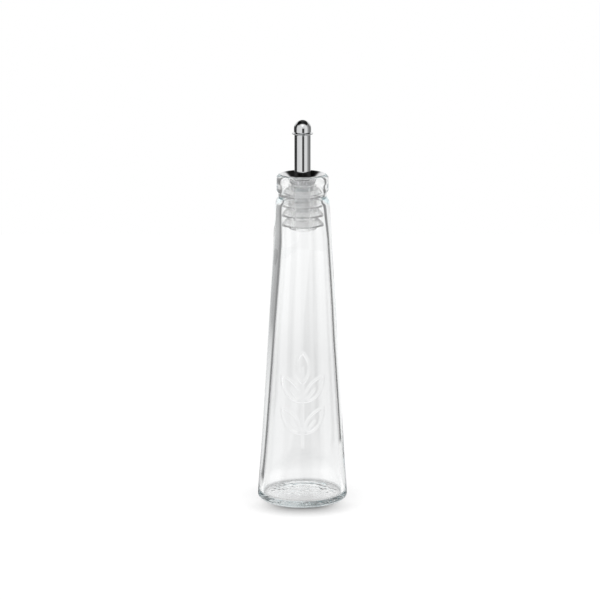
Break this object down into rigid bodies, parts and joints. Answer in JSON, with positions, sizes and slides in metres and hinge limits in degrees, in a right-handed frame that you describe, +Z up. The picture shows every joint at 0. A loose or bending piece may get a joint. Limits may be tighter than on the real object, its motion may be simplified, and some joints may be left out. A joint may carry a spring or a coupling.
{
  "type": "oil bottle",
  "caption": "Tapered clear-glass oil bottle with a lip bead and a raised sprig, closed by a lift-out steel pourer on a finned stopper, with a drip dish and a lift-off cap.",
  "frame": {"origin": "middle of the foot, on the plane that the bottle stands on", "axes": "+Z up along the bottle's axis; the raised sprig faces -Y"},
  "size_m": [0.06, 0.06, 0.2575],
  "materials": {
    "clear_glass": "clear, fire-polished, with a faint grey-green tint in its thick parts",
    "polished_steel": "mirror-polished stainless steel",
    "silicone": "translucent, satin",
    "natural_plastic": "natural polyethylene, satin"
  },
  "bodies": {
    "bottle": {"glass_bottle": "clear_glass"},
    "pourer": {"stopper": "silicone", "drip_dish": "polished_steel", "spout_tube": "polished_steel"},
    "closure": {"closure_cap": "polished_steel", "closure_plug": "natural_plastic"}
  },
  "joints": [
    {"name": "pourer_lift", "type": "slide", "parent": "bottle", "child": "pourer", "axis": [0, 0, 1], "range_m": [0, 0.045]},
    {"name": "closure_lift", "type": "slide", "parent": "pourer", "child": "closure", "axis": [0, 0, 1], "range_m": [0, 0.016]}
  ]
}
